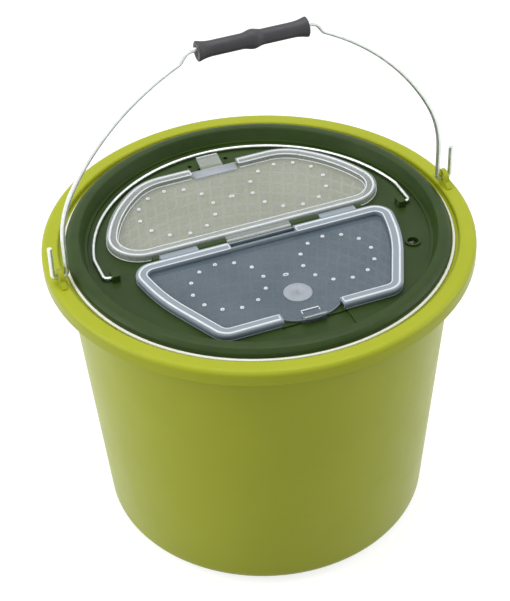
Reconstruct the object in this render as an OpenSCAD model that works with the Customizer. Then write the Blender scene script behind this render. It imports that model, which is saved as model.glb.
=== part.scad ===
// Round live-bait bucket: a rimmed bucket, a perforated basket hung in its rim, and a
// round lid with two clear doors. Two wire bails lift the basket and the whole bucket.
// X runs along the bail ears and the door hinge, +Y to the rear door, +Z up.
// The origin is the centre of the foot, on the ground.

/* [Bucket] */
// Height of the bucket, ground to rim top
bucket_h = 237; // [200:1:270]
// Outer radius of the rolled rim
rim_r = 155; // [150:0.5:170]
// Height of the hanging skirt of the rim
skirt_h = 10.7; // [8:0.1:16]
// Thickness of the rim skirt
skirt_t = 2.4; // [1.8:0.1:3]
// Rounding of the outer top edge of the rim
rim_round = 3.8; // [2:0.1:5]
// Radial width of the rolled rim, from its mouth to its outside
rim_w = 12.4; // [11:0.1:15]
// Depth of the ledge that carries the basket, below the rim top
ledge_depth = 4.2; // [3:0.1:8]
// Radial width of the ledge
ledge_w = 4.6; // [3:0.1:6]
// Thickness of the bucket wall
bucket_wall = 2.4; // [1.8:0.1:3.5]
// Outer radius of the wall at its bottom
base_r = 122.8; // [110:0.5:128]
// Rounding between wall and floor
base_round = 9; // [5:0.5:16]
// Outer radius of the foot ring
foot_r = 111.8; // [95:0.5:112]
// Height of the foot ring
foot_h = 3.4; // [2:0.1:6]
// Width of the foot ring
foot_w = 4; // [3:0.1:8]
// Thickness of the floor
floor_t = 2.6; // [2:0.1:4]
// Number of gusset ribs in the rim channel
rim_ribs = 16; // [8:2:32]

/* [Bail ears] */
// Distance from the outside of the rim to the middle of each ear
ear_inset = 8; // [7.5:0.1:8.5]
// Thickness of an ear
ear_t = 3.4; // [2.6:0.1:3.8]
// Width of an ear at its foot
ear_w = 21; // [16:0.5:28]
// Height of the bail pivot above the rim top
pivot_rise = 4.6; // [4:0.1:8]
// Radius of the rounded top of an ear
ear_head_r = 6.6; // [5:0.1:9]
// Clearance round the wire in its hole
ear_play = 0.4; // [0.2:0.05:0.8]

/* [Bucket bail] */
// Diameter of the bail wire
bail_d = 3.4; // [2.8:0.1:4]
// Height of the grip part of the wire above the pivot
bail_rise = 152.4; // [140:0.2:175]
// Distance from the middle of an ear to the leg inside it
leg_in = 5.1; // [4.8:0.1:5.2]
// Distance from the middle of an ear to the hooked end outside it
hook_out = 5; // [4.6:0.1:7]
// Length of the hooked end above the pivot
hook_h = 25; // [18:0.5:36]
// Inner bends of the hooks, at the middle of the wire
hook_bend_r = 3.6; // [3:0.1:3.8]
// Radius of the lower stretch of the arch
arch_low_r = 84; // [70:1:100]
// Turn of the lower stretch, degrees
arch_low_turn = 28; // [24:1:36]
// Turn at the end of the upper stretch, degrees
arch_end_turn = 63; // [58:1:66]
// Drop of the shoulder beside the grip
shoulder_drop = 8.6; // [8:0.1:14]
// Steepest slope of the shoulder, degrees
shoulder_slope = 55; // [50:1:70]
// Bend radius of the shoulder
shoulder_r = 7; // [5:0.5:8]

/* [Grip] */
// Length of the grip
grip_len = 78; // [60:1:90]
// Radius of the grip body
grip_r = 5.3; // [5:0.1:8]
// Radius of the grip at its flared ends
grip_end_r = 7.2; // [6.5:0.1:10]
// Radius of the ring in the middle
grip_mid_r = 6.7; // [6:0.1:9]
// Radius of the bore of the grip
grip_bore_r = 3.4; // [3.1:0.05:4]
// Free space between bore and wire where the grip hangs
grip_play = 0.25; // [0.2:0.05:0.4]

/* [Basket] */
// Clearance between the basket flange and the rim mouth
flange_play = 2.8; // [2:0.1:3.5]
// Thickness of the basket flange
flange_t = 2; // [1.5:0.1:2.6]
// Thickness of the basket wall
basket_wall = 2; // [1.5:0.1:3]
// Clearance between basket and bucket wall under the flange
basket_play = 2.6; // [1.5:0.1:3.4]
// Clearance between basket and bucket wall at the floor of the basket
basket_low_play = 4; // [2:0.5:8]
// Height of the basket floor above the ground
basket_floor_z = 28; // [18:1:60]

/* [Lid] */
// Thickness of the lid shell
lid_t = 2.2; // [1.6:0.1:2.6]
// Radial step from the flange edge to the lid edge
lid_step = 1.8; // [1:0.1:3]
// Height of the lid crown above the basket flange
crown_h = 6.6; // [5:0.1:10]
// Radial width of the crown, from lid edge to its inner edge
crown_w = 10.4; // [9.5:0.1:13]
// Depth of the lid plate below the crown top
well_depth = 10.2; // [8:0.1:12]
// Depth of the ledge ring below the crown top
ring_depth = 8.8; // [6:0.1:9.5]
// Radial width of the sloping inner wall of the crown
well_slope = 3.1; // [2:0.1:5]
// Radial width of the ledge ring
ring_w = 2.1; // [1:0.1:4]
// Depth of the locating skirt of the lid in the basket
plug_h = 8; // [5:0.5:14]
// Clearance between the locating skirt and the basket
plug_play = 0.8; // [0.4:0.1:1.5]
// Radius of the air hose hole
hose_r = 4; // [3:0.1:4.6]
// Place of the air hose hole, in from the side of the plate and in front of the hinge axis
hose_in = [24.4, 50]; // [18:0.2:60]

/* [Doors] */
// Gap between lid plate and door
door_gap = 0.3; // [0.2:0.05:0.6]
// Wall thickness of the doors
door_t = 1.4; // [1:0.1:2]
// Height of the raised border of the doors
border_h = 5.2; // [4.4:0.1:6]
// Width of the raised border
border_w = 8.4; // [5:0.1:8.6]
// Rounding of the border, made in two steps
border_round = 0.9; // [0.4:0.1:1.2]
// Distance of each door from the hinge axis
hinge_gap = 3.6; // [3.4:0.1:4.5]
// Width of the plate left in front of the front door's free edge
front_margin = 21.4; // [20.4:0.1:28]
// Width of the plate left beside the front door at the hinge, bend and free corner
front_side = [21.8, 29.9, 56.4]; // [20:0.1:62]
// Distance of the bend in the front door's side from the hinge axis
front_bend_y = 46; // [35:1:60]
// Corner radii of the front door at hinge, bend and free corner
front_round = [14, 150, 14]; // [8:1:180]
// Width of the plate left behind the rear door's free edge
rear_margin = 28.4; // [22.4:0.1:32]
// Width of the plate left round the rear door's round side
rear_side = 13.4; // [9.4:0.1:18]
// Corner radii of the rear door at the hinge and at the free edge
rear_round = [25, 42]; // [12:1:46]
// Ledge of the lid plate under each door
seat_w = 9; // [8:0.5:14]
// Diameter of the vent holes
vent_d = 2.2; // [1.5:0.1:3]
// Vent holes in each ring
vents = 12; // [6:1:16]
// Distance of the nearest vents from the hinge axis, front and rear
vent_near = [20.3, 21.8]; // [16:0.1:26]
// Distance of the farthest vents from the free edge, front and rear
vent_far = [28.7, 15.4]; // [14:0.1:34]
// Distance of the inner vents from the middle line, front and rear
vent_mid = [15, 15.6]; // [8:0.1:22]

/* [Hinge] */
// Radius of the hinge pin
pin_r = 1.5; // [1.2:0.1:1.7]
// Radius of the knuckles
knuckle_r = 2.8; // [2.5:0.1:3]
// Running clearance of the knuckles on the pin
pin_play = 0.08; // [0.03:0.01:0.1]
// Half length of the rear door's middle knuckle
mid_knuckle = 24.3; // [16:0.1:30]
// Inner end of each knuckle of the front door
side_knuckle = 46.8; // [40:0.1:52]
// Distance from the outer end of each side knuckle to the side of the front door
knuckle_margin = 25.8; // [20:0.1:34]
// Gap between a knuckle and the lug beside it
knuckle_gap = 0.6; // [0.4:0.1:1]
// Length of the outer lugs
outer_lug = 4.4; // [3:0.1:6]

/* [Latches] */
// Half width of the gap in the border of the front door
front_latch_half = 22; // [18:0.5:30]
// Bulge of the front tongue
tongue_bulge = 6.5; // [4:0.1:8]
// Half width of the gap in the border of the rear door
rear_latch_half = 18.5; // [12:0.5:24]
// Half width of the finger lifts
lift_half = 8.5; // [6:0.5:11]
// Reach of the finger lifts past the door edge, front and rear
lift_reach = [2.6, 12.1]; // [2:0.1:14]
// Height of the lift tips above the door's lower face, front and rear
lift_rise = [5, 5.2]; // [3:0.1:6]
// Depth of the catch hooks below the door
catch_h = 3.6; // [3:0.1:5]
// Thickness of the catch hooks
catch_t = 1.4; // [1:0.1:2]

// Half width of the finger recess in front of the front latch
recess_half = 24; // [18:0.5:30]
// Depth of the finger recess
recess_depth = 1.1; // [0.6:0.1:1.4]
// Place of the two small holes, from the middle line and behind the rear door's free edge
peg_at = [14.5, 10]; // [5:0.5:20]
// Radius of the two small holes
peg_r = 1.7; // [1:0.1:2.5]

/* [Lid bail] */
// Diameter of the lid bail wire
lid_bail_d = 2.4; // [2:0.1:3]
// Distance from the edge of the plate to the lid bail's arch
lid_bail_in = 2.8; // [2.4:0.1:7]
// Distance from the edge of the plate to each leg of the lid bail
lid_leg_in = 5.2; // [4.4:0.1:8.4]
// Radius where a leg turns into the arch
lid_bail_corner = 15; // [8:1:24]
// Bend radius of the hooked ends
lid_hook_r = 3.4; // [2.5:0.1:4]
// Distance from a leg of the lid bail to the middle of its socket
socket_in = 7.6; // [6.2:0.1:10]
// Size of the sockets along X and Y
socket_size = [5.4, 8]; // [4:0.2:10]
// Distance of the lid bail's axis in front of the door hinge
lid_bail_shift = 5.2; // [0:0.1:6]
// Height of the lid bail axis above the plate
lid_bail_z = 1.9; // [1.5:0.1:2.4]

/* [Hidden] */
$fn = 96;
cut = 1;             // overrun of cutting solids
corner_steps = 8;    // straight steps in a door corner
side_steps = 14;     // straight steps in a door's round side

// Bucket heights and radii, from the ground up
skirt_z = bucket_h - skirt_h;
mouth_r = rim_r - rim_w;
ledge_z = bucket_h - ledge_depth;
wall_in_top = mouth_r - ledge_w;
wall_out_top = wall_in_top + bucket_wall;
wall_in_base = base_r - bucket_wall;
floor_z = foot_h + floor_t;
web_z = bucket_h - skirt_t;

// Bail ears, pivot and grip line
ear_x = rim_r - ear_inset;
leg_x = ear_x - leg_in;
hook_x = ear_x + hook_out;
pivot_z = bucket_h + pivot_rise;
grip_line_z = pivot_z + bail_rise;
grip_z = grip_line_z - (grip_bore_r - bail_d / 2 - grip_play);

// Basket
flange_r = mouth_r - flange_play;
flange_z = ledge_z + flange_t;
function bucket_in_r(z) = wall_in_base + (wall_in_top - wall_in_base) * (z - floor_z) / (ledge_z - floor_z);
basket_top_r = wall_in_top - basket_play;
basket_low_r = bucket_in_r(basket_floor_z) - basket_low_play;
function basket_r(z) = basket_low_r
    + (basket_top_r - basket_low_r) * (z - basket_floor_z) / (ledge_z - basket_floor_z);

// Lid
lid_r = flange_r - lid_step;
lid_z = flange_z;
crown_z = flange_z + crown_h;
crown_in_r = lid_r - crown_w;
plate_z = crown_z - well_depth;
ring_z = crown_z - ring_depth;
ring_r = crown_in_r - well_slope;
plate_r = ring_r - ring_w;
hose_at = [plate_r - hose_in[0], -hose_in[1]];
plug_r = basket_top_r - basket_wall - plug_play;

// Doors and hinge, sized from the plate that carries them
front_reach = plate_r - front_margin;
rear_reach = plate_r - rear_margin;
front_half = [for (side = front_side) plate_r - side];
rear_r = plate_r - rear_side;
vent_ring_r = ([front_reach, rear_reach] - vent_far - vent_near) / 2;
vent_ring_x = vent_mid + vent_ring_r;
vent_ring_y = vent_near + vent_ring_r;
side_knuckle_end = front_half[0] - knuckle_margin;
door_z = plate_z + door_gap;
border_z = door_z + border_h;
panel_z = door_z + door_t;
hinge_z = border_z - knuckle_r;
trough_z = hinge_z - knuckle_r - 0.7;
lug_in = mid_knuckle + knuckle_gap;
lug_out = side_knuckle - knuckle_gap;
pin_half = side_knuckle_end + knuckle_gap + outer_lug;
catch_y = [front_reach - 1, rear_reach + 3];
slot_half = lift_half + 1.5;
slot_w = catch_t + 2.4;

// Lid bail
lid_bail_r = plate_r - lid_bail_in;
lid_leg_x = plate_r - lid_leg_in;
socket_x = lid_leg_x - socket_in;
lid_axis_z = plate_z + lid_bail_z;
socket_h = lid_bail_z + lid_bail_d / 2 + 2;

wire_step = 0.1;     // how much thicker the bends that take the ends of other stretches are
wire_lap = 0.3;      // how far a stretch runs into the thicker one beside it

function unit(v) = v / norm(v);
function arc(c, r, a0, a1, n) = [for (i = [0 : n]) let (a = a0 + (a1 - a0) * i / n) c + r * [cos(a), sin(a)]];

// A corner arc at p between the points before and after it, for an outline that turns left
// and is no rounder than half of the shorter side beside it allows
function corner(before, p, after, wish) =
    let (u = unit(before - p), v = unit(after - p), half = acos(u * v) / 2,
         r = min(wish, min(norm(before - p), norm(after - p)) / 2 * tan(half)),
         c = p + unit(u + v) * r / sin(half),
         a0 = atan2(-v[0] * r, v[1] * r),
         t0 = p + u * r / tan(half) - c, t1 = p + v * r / tan(half) - c,
         b0 = atan2(t0[1], t0[0]), b1 = atan2(t1[1], t1[0]))
    [c, r, b0, b1 < b0 ? b1 + 360 : b1];

// Outline made of arcs, drawn in by d
function outline(arcs, d) = [for (k = arcs) each arc(k[0], max(k[1] - d, 0.4), k[2], k[3], k[4])];

function front_corners() =
    let (p = [[front_half[0], -hinge_gap], [-front_half[0], -hinge_gap], [-front_half[1], -front_bend_y],
              [-front_half[2], -front_reach], [front_half[2], -front_reach], [front_half[1], -front_bend_y]],
         r = [front_round[0], front_round[0], front_round[1], front_round[2], front_round[2], front_round[1]])
    [for (i = [0 : 5]) concat(corner(p[(i + 5) % 6], p[i], p[(i + 1) % 6], r[i]), [corner_steps])];

function rear_corners() =
    let (f = rear_round[0], g = rear_round[1],
         cf = [sqrt(pow(rear_r - f, 2) - pow(hinge_gap + f, 2)), hinge_gap + f],
         cg = [sqrt(pow(rear_r - g, 2) - pow(rear_reach - g, 2)), rear_reach - g],
         af = atan2(cf[1], cf[0]), ag = atan2(cg[1], cg[0]))
    [[cf, f, -90, af, corner_steps], [[0, 0], rear_r, af, ag, side_steps], [cg, g, ag, 90, corner_steps],
     [[-cg[0], cg[1]], g, 90, 180 - ag, corner_steps], [[0, 0], rear_r, 180 - ag, 180 - af, side_steps],
     [[-cf[0], cf[1]], f, 180 - af, 270, corner_steps]];

front_arcs = front_corners();
rear_arcs = rear_corners();

module slab(arcs, d, z0, z1) {
    translate([0, 0, z0]) linear_extrude(z1 - z0) polygon(outline(arcs, d));
}

module box(x0, x1, y0, y1, z0, z1) {
    translate([x0, y0, z0]) cube([x1 - x0, y1 - y0, z1 - z0]);
}

// A rod along X at height z on the hinge line
module rod(x0, x1, r, z) {
    translate([x0, 0, z]) rotate([0, 90, 0]) cylinder(r = r, h = x1 - x0);
}

// Straight wire between two points of the XY plane, lapped into its neighbours
module wire_line(a, b, d) {
    translate([a[0], a[1], 0]) rotate([0, 0, atan2(b[1] - a[1], b[0] - a[0])])
        translate([-wire_lap, 0, 0]) rotate([0, 90, 0]) cylinder(d = d, h = norm(b - a) + 2 * wire_lap);
}

// Thicker bend in the XY plane, from angle a0 to a1 round c
module wire_bend(c, r, a0, a1, d) {
    translate([c[0], c[1], 0]) rotate([0, 0, a0])
        rotate_extrude(angle = a1 - a0) translate([r, 0]) circle(d = d + wire_step, $fn = 32);
}

// Bend of plain thickness that runs into thicker ones on both sides
module wire_sweep(c, r, a0, a1, d) {
    lap = wire_lap / r * 180 / PI;
    wire_bend(c, r, a0 - lap, a1 + lap, d - wire_step);
}

module bucket() {
    color("#a9b43c") difference() {
        union() {
            bucket_shell();
            rim_gussets();
            for (s = [-1, 1]) ear(s);
        }
        rod(-rim_r - cut, rim_r + cut, bail_d / 2 + ear_play, pivot_z);
    }
}

module bucket_shell() {
    rotate_extrude($fn = 180) polygon(concat(
        [[0, foot_h], [foot_r - foot_w, foot_h], [foot_r - foot_w, 0], [foot_r, 0], [foot_r, foot_h]],
        arc([base_r - base_round, foot_h + base_round], base_round, -90, 0, 8),
        [[wall_out_top, ledge_z - bucket_wall], [mouth_r + bucket_wall, ledge_z - bucket_wall],
         [mouth_r + bucket_wall, web_z], [rim_r - skirt_t, web_z],
         [rim_r - skirt_t, skirt_z], [rim_r, skirt_z]],
        arc([rim_r - rim_round, bucket_h - rim_round], rim_round, 0, 90, 6),
        arc([mouth_r + 1.6, bucket_h - 1.6], 1.6, 90, 180, 4),
        [[mouth_r, ledge_z], [wall_in_top, ledge_z]],
        arc([wall_in_base - base_round + 2, floor_z + base_round - 2], base_round - 2, 0, -90, 8),
        [[0, floor_z]]));
}

// Gussets between wall and skirt, hidden under the rim
module rim_gussets() {
    for (i = [0 : rim_ribs - 1]) rotate([0, 0, (i + 0.5) * 360 / rim_ribs])
    {
        box(wall_out_top - 0.6, rim_r - skirt_t / 2, -0.8, 0.8, skirt_z + 2.5, ledge_z - bucket_wall + 0.6);
        box(mouth_r + bucket_wall / 2, rim_r - skirt_t / 2, -0.8, 0.8, skirt_z + 2.5, web_z + 0.5);
    }
}

module ear(side) {
    foot_z = web_z;
    translate([side * ear_x - ear_t / 2, 0, 0]) rotate([90, 0, 90]) linear_extrude(ear_t)
        union() {
            translate([0, pivot_z]) circle(r = ear_head_r);
            polygon([[-ear_w / 2, foot_z], [ear_w / 2, foot_z], [ear_w / 2, bucket_h + 1],
                     [ear_head_r, pivot_z], [-ear_head_r, pivot_z], [-ear_w / 2, bucket_h + 1]]);
        }
}

// The bail stands in the XZ plane. Its right half is drawn in the plane and mirrored.
module handle_bail() {
    color("#c8ccc8") translate([0, 0, pivot_z]) rotate([90, 0, 0])
    union() {
        for (s = [0, 1]) mirror([s, 0, 0]) half_bail();
        wire_line([-grip_len / 2 - 3, bail_rise], [grip_len / 2 + 3, bail_rise], bail_d);
    }
}

module half_bail() {
    b = hook_bend_r;
    slope = 90 - arch_end_turn;
    run_low = shoulder_r * (sin(shoulder_slope) - sin(slope));
    run_high = shoulder_r * sin(shoulder_slope);
    rise_low = shoulder_r * (cos(slope) - cos(shoulder_slope));
    rise_high = shoulder_r * (1 - cos(shoulder_slope));
    ramp = (shoulder_drop - rise_low - rise_high) / sin(shoulder_slope);
    flat_x = grip_len / 2 + 3;
    end_x = flat_x + run_low + run_high + ramp * cos(shoulder_slope);
    high_r = (leg_x - end_x - arch_low_r * (1 - cos(arch_low_turn))) / (cos(arch_low_turn) - cos(arch_end_turn));
    leg_h = bail_rise - shoulder_drop - arch_low_r * sin(arch_low_turn)
        - high_r * (sin(arch_end_turn) - sin(arch_low_turn));
    low_c = [leg_x - arch_low_r, leg_h];
    high_c = low_c + (arch_low_r - high_r) * [cos(arch_low_turn), sin(arch_low_turn)];
    end = high_c + high_r * [cos(arch_end_turn), sin(arch_end_turn)];
    foot_c = end + shoulder_r * [cos(arch_end_turn), sin(arch_end_turn)];
    foot = foot_c - shoulder_r * [sin(shoulder_slope), cos(shoulder_slope)];
    head = foot + ramp * [-cos(shoulder_slope), sin(shoulder_slope)];
    head_c = head - shoulder_r * [sin(shoulder_slope), cos(shoulder_slope)];
    wire_line([hook_x, hook_h], [hook_x, b], bail_d);
    wire_bend([hook_x - b, b], b, -90, 0, bail_d);
    wire_line([hook_x - b, 0], [leg_x + b, 0], bail_d);
    wire_bend([leg_x + b, b], b, 180, 270, bail_d);
    wire_line([leg_x, b], [leg_x, leg_h], bail_d);
    wire_bend(low_c, arch_low_r, 0, arch_low_turn, bail_d);
    wire_sweep(high_c, high_r, arch_low_turn, arch_end_turn, bail_d);
    wire_bend(foot_c, shoulder_r, 180 + 90 - shoulder_slope, 180 + arch_end_turn, bail_d);
    wire_line(foot, head, bail_d);
    wire_bend(head_c, shoulder_r, 90 - shoulder_slope, 90, bail_d);
}

// The grip hangs on the wire, so its bore touches the wire near the top
module grip() {
    flare = 9;
    ring = 5;
    color("#46464c") translate([0, 0, grip_z]) rotate([0, 90, 0]) rotate_extrude($fn = 64) polygon([
        [grip_bore_r, -grip_len / 2], [grip_end_r - 0.8, -grip_len / 2],
        [grip_end_r, -grip_len / 2 + 1.2], [grip_end_r - 0.5, -grip_len / 2 + 3.6],
        [grip_r + 0.4, -grip_len / 2 + flare - 2], [grip_r, -grip_len / 2 + flare + 3],
        [grip_r, -ring - 3], [grip_mid_r - 0.3, -ring / 2], [grip_mid_r, 0], [grip_mid_r - 0.3, ring / 2],
        [grip_r, ring + 3], [grip_r, grip_len / 2 - flare - 3], [grip_r + 0.4, grip_len / 2 - flare + 2],
        [grip_end_r - 0.5, grip_len / 2 - 3.6], [grip_end_r, grip_len / 2 - 1.2],
        [grip_end_r - 0.8, grip_len / 2], [grip_bore_r, grip_len / 2]]);
}

// The basket is kept as its true outer shape with its open mouth, without the fine lattice
module basket() {
    color("#a3a397") rotate_extrude($fn = 180) polygon([
        [0, basket_floor_z], [basket_low_r - 3, basket_floor_z], [basket_low_r, basket_floor_z + 3],
        [basket_top_r, ledge_z - 2], [basket_top_r, ledge_z], [flange_r, ledge_z], [flange_r, flange_z],
        [basket_top_r - basket_wall, flange_z], [basket_top_r - basket_wall, ledge_z - 2],
        [basket_low_r - basket_wall, basket_floor_z + 3 + basket_wall],
        [basket_low_r - basket_wall - 2, basket_floor_z + basket_wall],
        [0, basket_floor_z + basket_wall]]);
}

module lid() {
    color("#4d5b3f") difference() {
        union() {
            lid_shell();
            for (s = [-1, 1]) socket(s);
            intersection() {
                collar(front_arcs);
                box(-rim_r, rim_r, -rim_r, -3 * hinge_gap - border_w, 0, bucket_h);
            }
            intersection() {
                collar(rear_arcs);
                box(-rim_r, rim_r, 3 * hinge_gap + border_w, rim_r, 0, bucket_h);
            }
            translate([hose_at[0], hose_at[1], plate_z - 0.5]) cylinder(r = hose_r + 1.7, h = 1.7);
            hinge_lugs();
        }
        slab(front_arcs, seat_w, plate_z - 2 * lid_t, border_z);
        slab(rear_arcs, seat_w, plate_z - 2 * lid_t, border_z);
        for (span = [[-lug_in, lug_in], [lug_out, side_knuckle_end + knuckle_gap],
                     [-side_knuckle_end - knuckle_gap, -lug_out]])
            box(span[0], span[1], -hinge_gap - 1.4, hinge_gap + 1.4, trough_z, border_z);
        translate([hose_at[0], hose_at[1], 0]) cylinder(r = hose_r, h = bucket_h, $fn = 48);
        for (s = [-1, 1]) translate([s * peg_at[0], rear_reach + peg_at[1], 0])
            cylinder(r = peg_r, h = bucket_h, $fn = 24);
        box(-recess_half, recess_half, 3 - plate_r, -front_reach, plate_z - recess_depth, border_z);
        latch_cuts(-catch_y[0], front_latch_half + 3, -front_reach - 2, -front_reach + seat_w);
        latch_cuts(catch_y[1], rear_latch_half + 3, rear_reach - seat_w, rear_reach + 1);
        rod(-pin_half + 1.4, pin_half - 1.4, pin_r + pin_play, hinge_z);
        for (s = [-1, 1]) translate([s * socket_x, -lid_bail_shift, 0])
            rod(-socket_size[0], socket_size[0], lid_bail_d / 2 + 0.25, lid_axis_z);
    }
}

module lid_shell() {
    rotate_extrude($fn = 180) polygon(concat(
        [[0, plate_z - lid_t], [ring_r + 0.6, plate_z - lid_t], [crown_in_r + lid_t - 0.6, crown_z - lid_t],
         [plug_r - lid_t, crown_z - lid_t], [plug_r - lid_t, lid_z - plug_h], [plug_r, lid_z - plug_h],
         [plug_r, lid_z], [lid_r, lid_z]],
        [for (a = [10 : 16 : 90]) [lid_r - 7 + 7 * cos(a), lid_z + 0.8 + (crown_z - lid_z - 0.8) * sin(a)]],
        [[crown_in_r + 0.8, crown_z], [crown_in_r, crown_z - 0.8], [ring_r, ring_z], [plate_r, ring_z],
         [plate_r - 0.4, plate_z], [0, plate_z]]));
}

// Lip of the plate that stands inside the hollow border of a door
module collar(arcs) {
    inner = door_t + 2.4;
    difference() {
        slab(arcs, door_t + 0.9, plate_z - 0.5, plate_z + 2.6);
        slab(arcs, inner, plate_z - cut, plate_z + 2.6 + cut);
    }
}

// Frees the collar in the latch gap and cuts the slot for the catch hook
module latch_cuts(y, half, y0, y1) {
    box(-half, half, y0, y1, plate_z, border_z);
    box(-slot_half, slot_half, y - slot_w / 2, y + slot_w / 2, plate_z - 2 * lid_t, border_z);
}

module hinge_lugs() {
    for (s = [0, 1]) mirror([s, 0, 0]) {
        lug(lug_in, lug_out);
        lug(side_knuckle_end + knuckle_gap, pin_half);
    }
}

module lug(x0, x1) {
    rod(x0, x1, knuckle_r, hinge_z);
    box(x0, x1, -knuckle_r, knuckle_r, plate_z - 0.5, hinge_z);
}

module socket(side) {
    translate([side * socket_x, -lid_bail_shift, plate_z - 0.5])
        box(-socket_size[0] / 2, socket_size[0] / 2, -socket_size[1] / 2, socket_size[1] / 2, 0, socket_h + 0.5);
}

module hinge_pin() {
    color("#c8ccc8") rod(-pin_half + 1.6, pin_half - 1.6, pin_r, hinge_z);
}

// Tray with a hollow raised border and a flat panel
module door_tray(arcs) {
    step = border_round / 2;
    difference() {
        union() {
            slab(arcs, 0, door_z, border_z - border_round);
            slab(arcs, step * 0.6, border_z - border_round - 0.01, border_z - step * 0.7);
            slab(arcs, border_round, border_z - step * 0.7 - 0.01, border_z);
        }
        slab(arcs, border_w, panel_z, border_z + cut);
        slab(arcs, border_w - border_round, border_z - step * 0.7, border_z + cut);
        difference() {
            slab(arcs, door_t, door_z - cut, border_z - door_t);
            slab(arcs, border_w - door_t, door_z - 2 * cut, border_z);
        }
    }
}

module vent_holes(x, y, r) {
    for (s = [-1, 1], i = [0 : vents - 1])
        translate([s * x + r * cos(i * 360 / vents), y + r * sin(i * 360 / vents), door_z - cut])
            cylinder(d = vent_d, h = door_t + 2 * cut, $fn = 16);
}

// Knuckle on the pin with the web that joins it to the door's border, for a door at y > 0
module knuckle(x0, x1) {
    rod(x0, x1, knuckle_r, hinge_z);
    box(x0, x1, 0, hinge_gap + door_t / 2, hinge_z + knuckle_r - door_t, border_z);
    box(x0, x1, 0, hinge_gap + door_t / 2, hinge_z - knuckle_r, hinge_z - knuckle_r + door_t);
}

// Catch hook below a latch tongue, its tip turned outwards, for a door at y > 0
module catch(y) {
    box(-lift_half, lift_half, y - catch_t / 2, y + catch_t / 2, door_z - catch_h, door_z + 0.5);
    box(-lift_half, lift_half, y - catch_t / 2, y + catch_t / 2 + 0.5, door_z - catch_h, door_z - catch_h + 0.8);
}

// Finger lift that rises past the door's edge, for a door at y > 0
module lift(y, reach, rise) {
    translate([lift_half, 0, 0]) rotate([90, 0, -90]) linear_extrude(2 * lift_half)
        polygon([[-y + 4, door_z], [-y - 0.5, door_z], [-y - reach, door_z + rise - door_t],
                 [-y - reach, door_z + rise], [-y + 4, panel_z]]);
}

module rear_door() {
    color("#c9ccc0") difference() {
        union() {
            difference() {
                door_tray(rear_arcs);
                box(-rear_latch_half, rear_latch_half, rear_reach - border_w - cut, rear_reach + cut,
                    panel_z, border_z + cut);
            }
            box(-rear_latch_half, rear_latch_half, rear_reach - border_w - 2, rear_reach, door_z, panel_z);
            box(-lift_half, lift_half, rear_reach - 2, catch_y[1] + catch_t / 2, door_z, panel_z);
            knuckle(-mid_knuckle, mid_knuckle);
            lift(rear_reach, lift_reach[1], lift_rise[1]);
            catch(catch_y[1]);
        }
        vent_holes(vent_ring_x[1], vent_ring_y[1], vent_ring_r[1]);
        rod(-rim_r, rim_r, pin_r + pin_play, hinge_z);
    }
}

module front_door() {
    half = front_latch_half;
    root_y = front_reach - tongue_bulge;
    bow_r = (half * half + pow(tongue_bulge + 1, 2)) / (2 * (tongue_bulge + 1));
    bow = asin(half / bow_r);
    color("#8f9aa3") difference() {
        union() {
            difference() {
                door_tray(front_arcs);
                box(-half, half, -front_reach - cut, -front_reach + border_w + cut, door_z - cut, border_z + cut);
            }
            translate([0, 0, door_z]) linear_extrude(door_t) polygon(concat(
                [[half, -root_y + border_w], [-half, -root_y + border_w]],
                arc([0, -root_y + tongue_bulge - front_reach - 1 + root_y - tongue_bulge + bow_r], bow_r,
                    -90 - bow, -90 + bow, 16)));
            mirror([0, 1, 0]) {
                for (s = [0, 1]) mirror([s, 0, 0]) knuckle(side_knuckle, side_knuckle_end);
                lift(front_reach, lift_reach[0], lift_rise[0]);
                catch(catch_y[0]);
            }
        }
        vent_holes(vent_ring_x[0], -vent_ring_y[0], vent_ring_r[0]);
        box(-lug_in, lug_in, -hinge_gap - border_w + door_t, -hinge_gap + cut, border_z - door_t, border_z + cut);
        rod(-rim_r, rim_r, pin_r + pin_play, hinge_z);
    }
}

// Lid bail: the arch lies flat round the rear door, its ends turn inwards into the sockets
module lid_bail() {
    q = lid_bail_corner;
    cx = lid_leg_x - q;
    cy = sqrt(pow(lid_bail_r - q, 2) - pow(cx, 2));
    turn = atan2(cy, cx);
    h = lid_hook_r;
    color("#d5dcd8") translate([0, -lid_bail_shift, lid_axis_z]) union() {
        for (s = [0, 1]) mirror([s, 0, 0]) {
            wire_line([socket_x - socket_size[0] / 2 + 0.8, 0], [lid_leg_x - h, 0], lid_bail_d);
            wire_bend([lid_leg_x - h, h], h, -90, 0, lid_bail_d);
            wire_line([lid_leg_x, h], [lid_leg_x, cy], lid_bail_d);
            wire_bend([cx, cy], q, 0, turn, lid_bail_d);
        }
        wire_sweep([0, 0], lid_bail_r, turn, 180 - turn, lid_bail_d);
    }
}

bucket();
basket();
lid();
hinge_pin();
front_door();
rear_door();
lid_bail();
handle_bail();
grip();
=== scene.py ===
import bpy
import bmesh
from math import acos, asin, atan2, cos, hypot, pi, radians, sin, tan
from mathutils import Matrix, Vector


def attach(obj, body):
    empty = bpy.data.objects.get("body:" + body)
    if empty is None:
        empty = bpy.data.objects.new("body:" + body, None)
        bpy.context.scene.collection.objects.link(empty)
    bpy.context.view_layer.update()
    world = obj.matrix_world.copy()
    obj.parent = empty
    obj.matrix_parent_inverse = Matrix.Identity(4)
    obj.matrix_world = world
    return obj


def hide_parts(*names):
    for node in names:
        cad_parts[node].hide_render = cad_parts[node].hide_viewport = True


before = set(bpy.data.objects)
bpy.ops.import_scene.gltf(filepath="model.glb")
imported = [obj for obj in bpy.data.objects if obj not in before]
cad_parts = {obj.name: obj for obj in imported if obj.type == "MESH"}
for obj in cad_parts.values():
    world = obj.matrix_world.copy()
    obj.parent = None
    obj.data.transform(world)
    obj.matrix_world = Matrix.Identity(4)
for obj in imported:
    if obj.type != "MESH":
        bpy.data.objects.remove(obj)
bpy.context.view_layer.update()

mm = 0.001
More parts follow.
